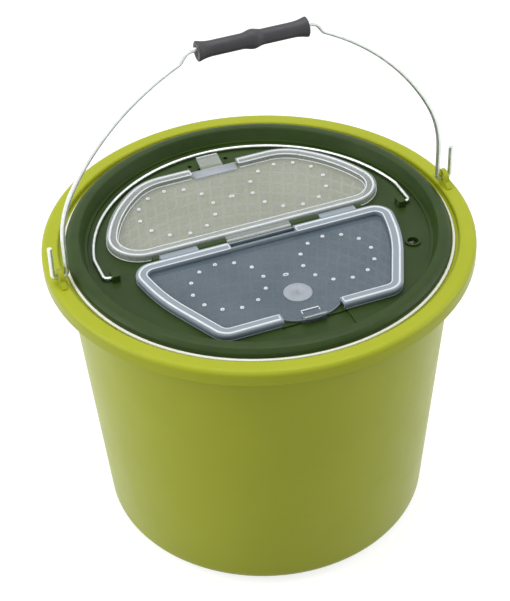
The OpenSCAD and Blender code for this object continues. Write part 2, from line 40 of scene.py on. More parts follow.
print("frame loaded:", len(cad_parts), "pieces of the bucket")

# Sizes of the two doors that several pieces share, in mm: widths, reaches, and heights over the ground
doorSizes = {
    "hingeGap": 3.6, "borderWidth": 8.4,
    "doorZ": 231.5, "panelZ": 232.9, "borderZ": 236.7,
    "frontReach": 101.0, "rearReach": 94.0,
}


# Small helpers

def hexToLinear(code):
    parts = [int(code[i:i + 2], 16) / 255 for i in (1, 3, 5)]
    return tuple(c / 12.92 if c <= 0.04045 else ((c + 0.055) / 1.055) ** 2.4 for c in parts) + (1.0,)


def addNode(tree, kind, inputs=None, **settings):
    node = tree.nodes.new(kind)
    for name, value in settings.items():
        setattr(node, name, value)
    for key, value in (inputs or {}).items():
        if isinstance(value, bpy.types.NodeSocket):
            tree.links.new(value, node.inputs[key])
        else:
            node.inputs[key].default_value = value
    return node


def newMaterial(name):
    material = bpy.data.materials.new(name)
    material.use_nodes = True
    material.node_tree.nodes.clear()
    return material, material.node_tree


def meshObject(name, verts, faces, material, smooth=True):
    mesh = bpy.data.meshes.new(name)
    mesh.from_pydata([(x * mm, y * mm, z * mm) for x, y, z in verts], [], faces)
    tidy = bmesh.new()
    tidy.from_mesh(mesh)
    bmesh.ops.remove_doubles(tidy, verts=tidy.verts, dist=1e-6)
    bmesh.ops.recalc_face_normals(tidy, faces=tidy.faces)
    tidy.to_mesh(mesh)
    tidy.free()
    mesh.materials.append(material)
    for face in mesh.polygons:
        face.use_smooth = smooth
    piece = bpy.data.objects.new(name, mesh)
    bpy.context.scene.collection.objects.link(piece)
    return piece


def ringFaces(rows, around, closed):
    # Quads between neighbouring rows of a sweep, with caps where it is open
    faces = []
    last = rows if closed else rows - 1
    for i in range(last):
        for j in range(around):
            a, b = i * around, ((i + 1) % rows) * around
            k = (j + 1) % around
            faces.append((a + j, a + k, b + k, b + j))
    if not closed:
        faces.append(tuple(range(around)))
        faces.append(tuple(range((rows - 1) * around, rows * around)))
    return faces


def beadAlong(path, radius, sides, closed):
    # Round bead along a path of points that lies nearly flat
    verts = []
    count = len(path)
    for i, p in enumerate(path):
        before = path[i - 1] if closed or i else p
        after = path[(i + 1) % count] if closed or i < count - 1 else p
        along = (Vector(after) - Vector(before)).normalized()
        side = along.cross(Vector((0, 0, 1))).normalized()
        up = side.cross(along).normalized()
        for j in range(sides):
            turn = 2 * pi * j / sides
            verts.append(tuple(Vector(p) + side * (radius * cos(turn)) + up * (radius * sin(turn))))
    return verts, ringFaces(count, sides, closed)


def turned(name, profile, steps, material, axisPoint=None):
    # Closed profile of (radius, height) pairs turned round Z, or round X where axisPoint is given
    verts = []
    for i in range(steps):
        turn = 2 * pi * i / steps
        for r, h in profile:
            if axisPoint is None:
                verts.append((r * cos(turn), r * sin(turn), h))
            else:
                verts.append((axisPoint[0] + h, axisPoint[1] + r * cos(turn), axisPoint[2] + r * sin(turn)))
    return meshObject(name, verts, ringFaces(steps, len(profile), True), material)


def joined(name, parts, material):
    verts, faces = [], []
    for v, f in parts:
        faces += [tuple(k + len(verts) for k in face) for face in f]
        verts += v
    return meshObject(name, verts, faces, material)


def bakedMesh(carrier, name, material):
    # Turns the evaluated Geometry Nodes result into a plain mesh object
    graph = bpy.context.evaluated_depsgraph_get()
    mesh = bpy.data.meshes.new_from_object(carrier.evaluated_get(graph))
    carrier.modifiers.clear()
    bpy.data.objects.remove(carrier, do_unlink=True)
    mesh.materials.clear()
    mesh.materials.append(material)
    piece = bpy.data.objects.new(name, mesh)
    bpy.context.scene.collection.objects.link(piece)
    return piece


def grownBy(name, build, sizes, material):
    # Carrier object with one Geometry Nodes modifier, its inputs set by the sockets' identifiers
    tree = bpy.data.node_groups.new(name, "GeometryNodeTree")
    tree.interface.new_socket("Geometry", in_out="OUTPUT", socket_type="NodeSocketGeometry")
    kinds = {int: "NodeSocketInt", float: "NodeSocketFloat"}
    identifiers = {}
    for label, value in sizes.items():
        socket = tree.interface.new_socket(label, in_out="INPUT", socket_type=kinds[type(value)])
        identifiers[label] = socket.identifier
    finish = tree.interface.new_socket("Finish", in_out="INPUT", socket_type="NodeSocketMaterial")
    given = tree.nodes.new("NodeGroupInput")
    shape = build(tree, given.outputs)
    real = addNode(tree, "GeometryNodeRealizeInstances", {"Geometry": shape})
    painted = addNode(tree, "GeometryNodeSetMaterial",
                      {"Geometry": real.outputs[0], "Material": given.outputs["Finish"]})
    addNode(tree, "NodeGroupOutput", {"Geometry": painted.outputs[0]})
    carrier = bpy.data.objects.new(name + "Carrier", bpy.data.meshes.new(name))
    bpy.context.scene.collection.objects.link(carrier)
    modifier = carrier.modifiers.new(name, "NODES")
    modifier.node_group = tree
    for label, value in sizes.items():
        modifier[identifiers[label]] = value
    modifier[finish.identifier] = material
    return bakedMesh(carrier, name, material)


# Materials

def noise(tree, place, size, detail, roughness=0.5):
    # Noise with spots about size mm across
    return addNode(tree, "ShaderNodeTexNoise", {"Vector": place, "Scale": 1 / (size * mm), "Detail": detail,
                                                "Roughness": roughness}).outputs["Fac"]


def twoTone(tree, fac, spread, look):
    # Colour that wanders between the dark and the light tone of a look
    tint = addNode(tree, "ShaderNodeValToRGB", {"Fac": fac})
    for stop, position, tone in zip(tint.color_ramp.elements, spread, ("dark", "light")):
        stop.position = position
        stop.color = hexToLinear(look[tone])
    return tint.outputs["Color"]


def glossOf(tree, fac, spread, look):
    return addNode(tree, "ShaderNodeMapRange",
                   {"Value": fac, "From Min": spread[0], "From Max": spread[1],
                    "To Min": look["gloss"][0], "To Max": look["gloss"][1]}).outputs["Result"]


def reliefOf(tree, fac, strength, depth):
    return addNode(tree, "ShaderNodeBump",
                   {"Height": fac, "Strength": strength, "Distance": depth * mm}).outputs["Normal"]


def mouldedPlastic(name, look):
    # Injection moulded plastic: an even colour with faint flow mottle, a fine eroded-mould grain,
    # and a few soft rubs in the gloss. Grain, mottle and rubs are real sizes in mm.
    material, tree = newMaterial(name)
    place = addNode(tree, "ShaderNodeTexCoord").outputs["Object"]
    mottle = noise(tree, place, look["mottle"], 3.0, 0.55)
    grain = noise(tree, place, look["grain"], 2.0)
    rubs = noise(tree, place, look["rub"], 5.0, 0.65)
    surface = addNode(tree, "ShaderNodeBsdfPrincipled",
                      {"Base Color": twoTone(tree, mottle, (0.34, 0.66), look),
                       "Roughness": glossOf(tree, rubs, (0.3, 0.7), look),
                       "Normal": reliefOf(tree, grain, look["relief"], look["depth"]),
                       "IOR": 1.49, "Specular IOR Level": look.get("specular", 0.5)})
    for key, value in look.get("extra", {}).items():
        surface.inputs[key].default_value = value
    addNode(tree, "ShaderNodeOutputMaterial", {"Surface": surface.outputs[0]})
    return material


def clearPlastic(name, look):
    # Clear moulded styrene: a tinted sheet that what lies behind shows through, glossy on both
    # faces, with faint flow lines and fine handling scratches that dull the gloss. The raised
    # border is seen through two walls at once, so above the sheet it has a tone of its own.
    # On the two doors the tint and border tone are painted: painted shade and reflection on the front door,
    # painted light on the rear door.
    material, tree = newMaterial(name)
    place = addNode(tree, "ShaderNodeTexCoord").outputs["Object"]
    flow = noise(tree, place, look["flow"], 2.0)
    spot = addNode(tree, "ShaderNodeSeparateXYZ", {"Vector": place})
    border = addNode(tree, "ShaderNodeMapRange",
                     {"Value": spot.outputs["Z"],
                      "From Min": look["pale"][0] * mm, "From Max": look["pale"][1] * mm})
    colour = addNode(tree, "ShaderNodeMix", {"Factor": border.outputs[0]}, data_type="RGBA")
    tree.links.new(twoTone(tree, flow, (0.35, 0.65), look), colour.inputs[6])
    colour.inputs[7].default_value = hexToLinear(look["border"])
    stretched = addNode(tree, "ShaderNodeMapping", {"Vector": place, "Scale": (1.0, 0.12, 1.0),
                                                    "Rotation": (0.0, 0.0, radians(24))})
    scratch = noise(tree, stretched.outputs[0], look["scratch"], 4.0)
    surface = addNode(tree, "ShaderNodeBsdfPrincipled",
                      {"Base Color": colour.outputs[2],
                       "Roughness": glossOf(tree, scratch, (0.35, 0.75), look),
                       "Normal": reliefOf(tree, flow, 0.25, 0.25),
                       "IOR": look["ior"], "Alpha": look["alpha"]})
    addNode(tree, "ShaderNodeOutputMaterial", {"Surface": surface.outputs[0]})
    return material


def platedWire(name, look):
    # Drawn steel wire, zinc plated: bright, with a slightly cloudy plating and fine drawing marks
    material, tree = newMaterial(name)
    place = addNode(tree, "ShaderNodeTexCoord").outputs["Object"]
    cloud = noise(tree, place, look["cloud"], 4.0, 0.6)
    marks = noise(tree, place, look["marks"], 2.0)
    surface = addNode(tree, "ShaderNodeBsdfPrincipled",
                      {"Base Color": twoTone(tree, cloud, (0.3, 0.7), look),
                       "Roughness": glossOf(tree, cloud, (0.3, 0.7), look),
                       "Normal": reliefOf(tree, marks, 0.3, 0.05), "Metallic": 1.0})
    addNode(tree, "ShaderNodeOutputMaterial", {"Surface": surface.outputs[0]})
    return material


limePolypropylene = mouldedPlastic("limeMouldedPolypropylene", {
    "dark": "#a3ab22", "light": "#a7af26", "mottle": 60.0, "grain": 1.1, "rub": 24.0,
    "gloss": (0.3, 0.38), "relief": 0.2, "depth": 0.1, "specular": 0.22})
olivePolypropylene = mouldedPlastic("oliveMouldedPolypropylene", {
    "dark": "#293c14", "light": "#2f4318", "mottle": 30.0, "grain": 1.3, "rub": 18.0,
    "gloss": (0.34, 0.46), "relief": 0.35, "depth": 0.14, "specular": 0.2})
naturalPolypropylene = mouldedPlastic("naturalMouldedPolypropylene", {
    "dark": "#e9ebdc", "light": "#f0f2e4", "mottle": 34.0, "grain": 1.0, "rub": 20.0,
    "gloss": (0.42, 0.55), "relief": 0.2, "depth": 0.1})
gripPolyethylene = mouldedPlastic("gripMouldedPolyethylene", {
    "dark": "#2e2e31", "light": "#343438", "mottle": 12.0, "grain": 0.9, "rub": 9.0,
    "gloss": (0.42, 0.56), "relief": 0.45, "depth": 0.14})
# One styrene for both doors, made as a shaded copy and a lit copy. The front door's darker bluish sheet and
# border are painted shade and painted reflection. The rear door's paler sheet and border are painted light.
frontStyrenePaintedShadeAndReflection = clearPlastic("clearStyreneFrontPaintedShadeAndReflection", {
    "dark": "#65737f", "light": "#6d7b87", "flow": 34.0, "scratch": 4.0,
    "border": "#aab8c3", "pale": (233.1, 235.4), "gloss": (0.12, 0.24), "ior": 1.5, "alpha": 0.6})
rearStyrenePaintedLight = clearPlastic("clearStyreneRearPaintedLight", {
    "dark": "#cdd2c2", "light": "#d5dacb", "flow": 34.0, "scratch": 4.0,
    "border": "#c6cdcb", "pale": (233.1, 235.4), "gloss": (0.12, 0.24), "ior": 1.5, "alpha": 0.32})
# Near-white styrene for the edge beads, latch beads, gate marks and vent collars. Mostly it is the painted
# highlight of rounded clear edges, and partly the milky look of thick clear plastic.
edgeHighlightStyrene = mouldedPlastic("paintedHighlightStyreneEdge", {
    "dark": "#e6eaee", "light": "#eef1f4", "mottle": 8.0, "grain": 0.8, "rub": 6.0,
    "gloss": (0.14, 0.22), "relief": 0.1, "depth": 0.05, "extra": {"Alpha": 0.9}})
padStyrene = mouldedPlastic("frostedMouldedStyrene", {
    "dark": "#a9afb8", "light": "#b1b7bf", "mottle": 9.0, "grain": 0.7, "rub": 5.0,
    "gloss": (0.45, 0.6), "relief": 0.3, "depth": 0.08, "extra": {"Alpha": 0.8}})
zincWire = platedWire("zincPlatedDrawnSteel", {
    "dark": "#d0d5d2", "light": "#e6eae7", "cloud": 5.0, "marks": 0.6, "gloss": (0.34, 0.46)})
pinWire = platedWire("brightDrawnSteel", {
    "dark": "#a5a7a6", "light": "#bcbebd", "cloud": 4.0, "marks": 0.5, "gloss": (0.26, 0.4)})
print("materials built")

for nodeName, material in {"bucket": limePolypropylene, "lid": olivePolypropylene, "hinge_pin": pinWire,
                           "front_door": frontStyrenePaintedShadeAndReflection, "rear_door": rearStyrenePaintedLight,
                           "lid_bail": zincWire, "handle_bail": zincWire}.items():
    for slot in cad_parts[nodeName].material_slots:
        slot.material = material


# Basket: lattice wall and floor between plain bands, hung by its flange

basketSizes = {
    "flangeRadius": 139.8, "flangeZ": (232.8, 234.8), "topRadius": 135.4, "lowRadius": 118.1,
    "wallTop": 230.8, "wallLow": 31.0, "floorZ": 28.0, "wall": 2.0, "plainTop": 216.0, "plainLow": 38.0,
    "ribs": 84, "rings": 20, "ribWidth": 2.7, "ringHeight": 2.5, "latticeWall": 1.5,
    "floorRings": 12, "spokes": 40, "floorHub": 8.0, "floorEdge": 8.0, "floorBar": 1.6, "steps": 160,
}


def wallRadius(z):
    s = basketSizes
    part = (z - s["floorZ"]) / (s["flangeZ"][0] - s["floorZ"])
    return s["lowRadius"] + (s["topRadius"] - s["lowRadius"]) * part


def oblong(tree, section):
    return addNode(tree, "GeometryNodeCurvePrimitiveQuadrilateral",
                   {"Width": section[0], "Height": section[1]}).outputs[0]


def barsRound(tree, ends, section, count):
    # Straight bars from one end to the other, each end a (radius, height), copied round the axis
    points = [addNode(tree, "ShaderNodeCombineXYZ", {"X": radius, "Z": height}) for radius, height in ends]
    line = addNode(tree, "GeometryNodeCurvePrimitiveLine",
                   {"Start": points[0].outputs[0], "End": points[1].outputs[0]})
    bar = addNode(tree, "GeometryNodeCurveToMesh",
                  {"Curve": line.outputs[0], "Profile Curve": oblong(tree, section), "Fill Caps": True})
    posts = addNode(tree, "GeometryNodePoints", {"Count": count})
    index = addNode(tree, "GeometryNodeInputIndex")
    step = addNode(tree, "ShaderNodeMath", {0: 2 * pi, 1: count}, operation="DIVIDE")
    turn = addNode(tree, "ShaderNodeMath", {0: index.outputs[0], 1: step.outputs[0]}, operation="MULTIPLY")
    facing = addNode(tree, "ShaderNodeCombineXYZ", {"Z": turn.outputs[0]})
    return addNode(tree, "GeometryNodeInstanceOnPoints",
                   {"Points": posts.outputs[0], "Instance": bar.outputs[0], "Rotation": facing.outputs[0]})


def ringsBetween(tree, ends, section, count, resolution):
    # Rings spread evenly from one (radius, height) to the other
    levels = addNode(tree, "GeometryNodePoints", {"Count": count})
    index = addNode(tree, "GeometryNodeInputIndex")
    last = addNode(tree, "ShaderNodeMath", {0: count, 1: 1.0}, operation="SUBTRACT")
    part = addNode(tree, "ShaderNodeMath", {0: index.outputs[0], 1: last.outputs[0]}, operation="DIVIDE")
    spreads = [{"Value": part.outputs[0], "To Min": low, "To Max": high} for low, high in zip(*ends)]
    radius, height = (addNode(tree, "ShaderNodeMapRange", spread) for spread in spreads)
    loop = addNode(tree, "GeometryNodeCurvePrimitiveCircle", {"Resolution": resolution, "Radius": 1.0})
    wide = addNode(tree, "ShaderNodeCombineXYZ", {"X": radius.outputs[0], "Y": radius.outputs[0], "Z": 1.0})
    rise = addNode(tree, "ShaderNodeCombineXYZ", {"Z": height.outputs[0]})
    loops = addNode(tree, "GeometryNodeInstanceOnPoints",
                    {"Points": levels.outputs[0], "Instance": loop.outputs[0], "Scale": wide.outputs[0]})
    raised = addNode(tree, "GeometryNodeTranslateInstances",
                     {"Instances": loops.outputs[0], "Translation": rise.outputs[0], "Local Space": False})
    loose = addNode(tree, "GeometryNodeRealizeInstances", {"Geometry": raised.outputs[0]})
    return addNode(tree, "GeometryNodeCurveToMesh",
                   {"Curve": loose.outputs[0], "Profile Curve": oblong(tree, section)})


def together(tree, *shapes):
    both = addNode(tree, "GeometryNodeJoinGeometry")
    for shape in shapes:
        tree.links.new(shape.outputs[0], both.inputs[0])
    return both.outputs[0]


def latticeTree(tree, given):
    # Upright ribs that lean with the wall, and rings as wide as the cone is at their level
    ends = ((given["Low radius"], given["Low height"]), (given["High radius"], given["High height"]))
    ribs = barsRound(tree, ends, (given["Rib width"], given["Wall"]), given["Ribs"])
    rings = ringsBetween(tree, ends, (given["Wall"], given["Ring height"]), given["Rings"], 132)
    return together(tree, ribs, rings)


def basketLattice():
    s = basketSizes
    inset = s["wall"] / 2
    return grownBy("basketLattice", latticeTree, {
        "Ribs": s["ribs"], "Rings": s["rings"],
        "Low radius": (wallRadius(s["plainLow"]) - inset) * mm, "Low height": s["plainLow"] * mm,
        "High radius": (wallRadius(s["plainTop"]) - inset) * mm, "High height": s["plainTop"] * mm,
        "Rib width": s["ribWidth"] * mm, "Ring height": s["ringHeight"] * mm, "Wall": s["latticeWall"] * mm},
        naturalPolypropylene)


def basketBands():
    # Flange with its plain upper band, and the floor's rim with the plain lower band, as turned profiles
    s = basketSizes
    w, soft, lip, under = s["wall"], 0.3, 0.4, 0.9
    top, low = s["plainTop"] - 1, s["plainLow"] + 1
    flange, (flangeLow, flangeTop) = s["flangeRadius"], s["flangeZ"]
    outside, inside = s["topRadius"], s["topRadius"] - w
    upper = turned("basketFlange", [
        (wallRadius(top), top), (outside, s["wallTop"]), (outside, flangeLow),
        (flange - soft, flangeLow), (flange, flangeLow + soft),
        (flange, flangeTop - soft), (flange - soft, flangeTop),
        (inside + lip, flangeTop), (inside, flangeTop - lip),
        (inside, s["wallTop"]), (wallRadius(top) - w, top)], s["steps"], naturalPolypropylene)
    foot, base = s["lowRadius"], s["floorZ"]
    lower = turned("basketFloorRim", [
        (foot - 3, base), (foot - under, base + under), (foot, s["wallLow"]),
        (wallRadius(low), low), (wallRadius(low) - w, low), (foot - w, s["wallLow"] + w),
        (foot - w - 2, base + w), (foot - 9, base + w), (foot - 9, base)], s["steps"], naturalPolypropylene)
    return upper, lower


def floorTree(tree, given):
    # Flat grid of the floor: spokes and rings within the height of its rim
    ends = ((given["Inner radius"], given["Height"]), (given["Outer radius"], given["Height"]))
    section = (given["Bar"], given["Thick"])
    spokes = barsRound(tree, ends, section, given["Spokes"])
    rings = ringsBetween(tree, ends, section, given["Rings"], 96)
    return together(tree, spokes, rings)


def basketFloor():
    s = basketSizes
    return grownBy("basketFloorGrid", floorTree, {
        "Spokes": s["spokes"], "Rings": s["floorRings"], "Inner radius": s["floorHub"] * mm,
        "Outer radius": (s["lowRadius"] - s["floorEdge"]) * mm, "Height": (s["floorZ"] + s["wall"] / 2) * mm,
        "Bar": s["floorBar"] * mm, "Thick": s["floorBar"] * mm}, naturalPolypropylene)


basketPieces = [basketLattice(), basketFloor(), *basketBands()]
print("basket lattice grown")


# Outlines of the two doors, as in the part's source, drawn in from their edges

doorShapes = {
    "front": {"half": (100.6, 92.5, 66.0), "bend": 46.0, "rounds": (14.0, 150.0, 14.0)},
    "rear": {"radius": 109.0, "rounds": (25.0, 42.0)},
}


def cornerArc(before, p, after, r):
    u = Vector((before[0] - p[0], before[1] - p[1])).normalized()
    v = Vector((after[0] - p[0], after[1] - p[1])).normalized()
    half = acos(max(-1, min(1, u.dot(v)))) / 2
    centre = Vector(p) + (u + v).normalized() * r / sin(half)
    first = Vector(p) + u * r / tan(half) - centre
    last = Vector(p) + v * r / tan(half) - centre
    a, b = atan2(first.y, first.x), atan2(last.y, last.x)
    return centre, r, a, b + 2 * pi if b < a else b


def frontArcs():
    s, reach, gap = doorShapes["front"], doorSizes["frontReach"], doorSizes["hingeGap"]
    a, b, c = s["half"]
    points = [(a, -gap), (-a, -gap), (-b, -s["bend"]), (-c, -reach), (c, -reach), (b, -s["bend"])]
    r = s["rounds"]
    rounds = [r[0], r[0], r[1], r[2], r[2], r[1]]
    return [cornerArc(points[i - 1], points[i], points[(i + 1) % 6], rounds[i]) for i in range(6)]


def rearArcs():
    s, reach, gap = doorShapes["rear"], doorSizes["rearReach"], doorSizes["hingeGap"]
    f, g = s["rounds"]
    big = s["radius"]
    cf = Vector(((max(0, (big - f) ** 2 - (gap + f) ** 2)) ** 0.5, gap + f))
    cg = Vector((((big - g) ** 2 - (reach - g) ** 2) ** 0.5, reach - g))
    af, ag = atan2(cf.y, cf.x), atan2(cg.y, cg.x)
    return [(cf, f, -pi / 2, af), (Vector((0, 0)), big, af, ag), (cg, g, ag, pi / 2),
            (Vector((-cg.x, cg.y)), g, pi / 2, pi - ag), (Vector((0, 0)), big, pi - ag, pi - af),
            (Vector((-cf.x, cf.y)), f, pi - af, 1.5 * pi)]


def drawnIn(arcs, inset, pitch=1.2):
    # Outline drawn in by inset, with a point about every pitch mm on arcs and straights alike
    loop = []
    for centre, r, a, b in arcs:
        r = max(r - inset, 0.4)
        count = max(2, int(abs(b - a) * r / pitch))
        loop += [(centre.x + r * cos(a + (b - a) * i / count), centre.y + r * sin(a + (b - a) * i / count))
                 for i in range(count + 1)]
    dense = []
    for i, p in enumerate(loop):
        q = loop[(i + 1) % len(loop)]
        count = max(1, int(hypot(q[0] - p[0], q[1] - p[1]) / pitch))
        dense += [(p[0] + (q[0] - p[0]) * k / count, p[1] + (q[1] - p[1]) * k / count) for k in range(count)]
    return dense


def runsOutside(loop, inGap):
    # Splits a closed loop into the runs of its points that lie outside the gaps
    start = next(i for i, p in enumerate(loop) if inGap(p))
    turnedLoop = loop[start:] + loop[:start]
    runs, run = [], []
    for p in turnedLoop:
        if inGap(p):
            if len(run) > 3:
                runs.append(run)
            run = []
        else:
            run.append(p)
    if len(run) > 3:
        runs.append(run)
    return runs


# Beads on the doors' edges, near-white as the painted highlights of the rounded edges. "drop" is how far the
# fine bead lies under the border's top, and "clear" is the space that every bead keeps from a latch or from
# the notch for the knuckles.
edgeBeads = {
    "radius": 0.5, "sides": 8, "inner": 0.75, "drop": 0.36,
    "ridge": 2.6, "ridgeRadius": 0.95, "ridgeDrop": 0.5,
    "foot": 0.42, "footRadius": 0.4, "fillet": 0.1, "filletRadius": 0.42, "lowSides": 6,
    "frontLatch": 22.0, "rearLatch": 18.5, "notch": 24.9, "clear": 0.8, "latchSide": 80, "notchSide": -20,
}


def borderBeads(arcs, inGap):
    # Painted highlights on the raised border's ridges, as near-white beads: a fine one along its inner edge
    # and round the ends of each run, and a thick one along its outer side
    s = doorSizes
    height = s["borderZ"] - edgeBeads["drop"]
    outer = runsOutside(drawnIn(arcs, edgeBeads["ridge"]), inGap)
    inner = runsOutside(drawnIn(arcs, s["borderWidth"] - edgeBeads["inner"]), inGap)
    parts = []
    for out in outer:
        mid = out[len(out) // 2]
        back = min(inner, key=lambda r: hypot(r[len(r) // 2][0] - mid[0], r[len(r) // 2][1] - mid[1]))
        loop = [(x, y, height) for x, y in out] + [(x, y, height) for x, y in reversed(back)]
        parts.append(beadAlong(loop, edgeBeads["radius"], edgeBeads["sides"], True))
        parts.append(beadAlong([(x, y, s["borderZ"] - edgeBeads["ridgeDrop"]) for x, y in out],
                               edgeBeads["ridgeRadius"], edgeBeads["sides"], False))
    return parts


def lowBeads(arcs, inGap, inset, height, radius):
    return [beadAlong([(x, y, height) for x, y in run], radius, edgeBeads["lowSides"], False)
            for run in runsOutside(drawnIn(arcs, inset), inGap)]


def footBeads(arcs, inGap):
    # Edge where the border's outer wall ends, close above the lid, as a near-white bead of painted highlight
    foot = edgeBeads["foot"]
    return lowBeads(arcs, inGap, foot, doorSizes["doorZ"] + foot, edgeBeads["footRadius"])


def panelBeads(arcs, inGap):
    # Fillet between the panel and the inner wall of the border, as a near-white bead of painted highlight
    inset = doorSizes["borderWidth"] + edgeBeads["fillet"]
    return lowBeads(arcs, inGap, inset, doorSizes["panelZ"] + 0.05, edgeBeads["filletRadius"])


def frontGap(p):
    e = edgeBeads
    atLatch = abs(p[0]) < e["frontLatch"] + e["clear"] and p[1] < -e["latchSide"]
    atNotch = abs(p[0]) < e["notch"] + e["clear"] and p[1] > e["notchSide"]
    return atLatch or atNotch


def rearGap(p):
    return abs(p[0]) < edgeBeads["rearLatch"] + edgeBeads["clear"] and p[1] > edgeBeads["latchSide"]


# Beads of the latches, near-white as painted highlights: the bowed edge of the front tongue, the lips of the
# two finger lifts, and a small U behind the front latch. A lip lies "out" beyond the door's free edge and
# "up" over its underside.
latchSizes = {
    "bulge": 6.5, "behind": 1.0, "bowRadius": 0.45, "bowUp": 0.95, "bowSteps": 28, "lipStep": 4,
    "frontLip": {"half": 8.2, "out": 2.3, "up": 4.55, "radius": 0.4},
    "rearLip": {"half": 8.1, "out": 11.65, "up": 4.72, "radius": 0.42},
    "staple": {"half": 6.3, "ends": (-95.6, 0.35), "back": (-92.3, 0.5), "radius": 0.5},
}


def lipBead(lip, freeEdge, side):
    half, step = lip["half"], latchSizes["lipStep"]
    y, z = side * (freeEdge + lip["out"]), doorSizes["doorZ"] + lip["up"]
    path = [(x, y, z) for x in (-half, -step, 0, step, half)]
    return beadAlong(path, lip["radius"], edgeBeads["sides"], False)


def bowedEdge():
    s, half, reach = latchSizes, edgeBeads["frontLatch"], doorSizes["frontReach"]
    rise = s["bulge"] + s["behind"]
    bow = (half * half + rise ** 2) / (2 * rise)
    span = asin(half / bow)
    centre = -reach - s["behind"] + bow
    edge = []
    for i in range(s["bowSteps"] + 1):
        turn = -pi / 2 - span + 2 * span * i / s["bowSteps"]
        radius = bow - s["bowRadius"]
        edge.append((radius * cos(turn), centre + radius * sin(turn), doorSizes["doorZ"] + s["bowUp"]))
    return beadAlong(edge, s["bowRadius"], edgeBeads["sides"], False)


def stapleBead():
    s, z = latchSizes["staple"], doorSizes["panelZ"]
    (endY, endUp), (backY, backUp) = s["ends"], s["back"]
    path = [(-s["half"], endY, z + endUp), (-s["half"], backY, z + backUp),
            (s["half"], backY, z + backUp), (s["half"], endY, z + endUp)]
    return beadAlong(path, s["radius"], edgeBeads["sides"], False)


def latchBeads():
    front = [bowedEdge(), lipBead(latchSizes["frontLip"], doorSizes["frontReach"], -1), stapleBead()]
    rear = [lipBead(latchSizes["rearLip"], doorSizes["rearReach"], 1)]
    return front, rear


gateSizes = {"long": 1.7, "wide": 1.1, "radius": 0.5, "front": -50.6, "rear": 52.5}


def gateMark(y):
    # Small raised witness of the mould's gate in the middle of a panel, near-white as its painted highlight
    g, steps = gateSizes, 16
    turns = [2 * pi * i / steps for i in range(steps)]
    oval = [(g["long"] * cos(turn), y + g["wide"] * sin(turn), doorSizes["panelZ"] + 0.05) for turn in turns]
    return beadAlong(oval, g["radius"], edgeBeads["lowSides"], True)


frontShape, rearShape = frontArcs(), rearArcs()
frontLatch, rearLatch = latchBeads()
frontEdgeHighlights = joined("frontDoorEdgeHighlights", borderBeads(frontShape, frontGap) + footBeads(frontShape, frontGap)
                    + frontLatch + [gateMark(gateSizes["front"])], edgeHighlightStyrene)
rearEdgeHighlights = joined("rearDoorEdgeHighlights", borderBeads(rearShape, rearGap) + footBeads(rearShape, rearGap)
                   + panelBeads(rearShape, rearGap) + rearLatch + [gateMark(gateSizes["rear"])], edgeHighlightStyrene)
print("door edges laid")


# Raised near-white collars round the vent holes, twelve to a ring, as painted highlights on the holes' rims

ventSizes = {"count": 12, "collarRadius": 0.98, "collarThick": 0.56,
             "front": {"ring": 26.0, "x": 41.0, "y": -46.3}, "rear": {"ring": 28.4, "x": 44.0, "y": 50.2}}


def ventTree(tree, given):
    section = addNode(tree, "GeometryNodeCurvePrimitiveCircle",
                      {"Resolution": 6, "Radius": given["Collar thickness"]})
    loop = addNode(tree, "GeometryNodeCurvePrimitiveCircle",
                   {"Resolution": 14, "Radius": given["Collar radius"]})
    collar = addNode(tree, "GeometryNodeCurveToMesh",
                     {"Curve": loop.outputs[0], "Profile Curve": section.outputs[0]})
    ring = addNode(tree, "GeometryNodeMeshCircle",
                   {"Vertices": given["Count"], "Radius": given["Ring radius"]})
    vents = addNode(tree, "GeometryNodeInstanceOnPoints",
                    {"Points": ring.outputs[0], "Instance": collar.outputs[0]})
    placed = []
    for side in (-1.0, 1.0):
        reach = addNode(tree, "ShaderNodeMath", {0: given["Middle X"], 1: side}, operation="MULTIPLY")
        spot = addNode(tree, "ShaderNodeCombineXYZ",
                       {"X": reach.outputs[0], "Y": given["Middle Y"], "Z": given["Height"]})
        placed.append(addNode(tree, "GeometryNodeTransform",
                              {"Geometry": vents.outputs[0], "Translation": spot.outputs[0]}))
    return together(tree, *placed)


def ventCollars(door):
    s = ventSizes[door]
    return grownBy(door + "VentHighlightCollars", ventTree, {
        "Count": ventSizes["count"], "Ring radius": s["ring"] * mm,
        "Collar radius": ventSizes["collarRadius"] * mm, "Collar thickness": ventSizes["collarThick"] * mm,
        "Middle X": s["x"] * mm, "Middle Y": s["y"] * mm,
        "Height": (doorSizes["panelZ"] + 0.1) * mm}, edgeHighlightStyrene)


frontVents, rearVents = ventCollars("front"), ventCollars("rear")
print("vent collars set")


# Round raised pad on the front door, left plain

padSizes = {"middle": 0.01, "radius": 10.0, "soft": 0.3, "shoulder": 0.1, "sunk": 0.2, "up": 0.3, "y": 72}


def frontPad():
    p, z = padSizes, doorSizes["panelZ"]
    pad = turned("frontDoorPad", [
        (p["middle"], z - p["sunk"]), (p["radius"], z - p["sunk"]), (p["radius"], z + p["shoulder"]),
        (p["radius"] - p["soft"], z + p["up"]), (p["middle"], z + p["up"])], 64, padStyrene)
    for corner in pad.data.vertices:
        corner.co.y -= p["y"] * mm
    return pad


doorPad = frontPad()


bridgeSizes = {"half": 17.2, "y": (84.1, 93.5), "round": 1.6,
               "levels": ((0.0, -0.3), (0.0, 0.25), (0.3, 0.5))}


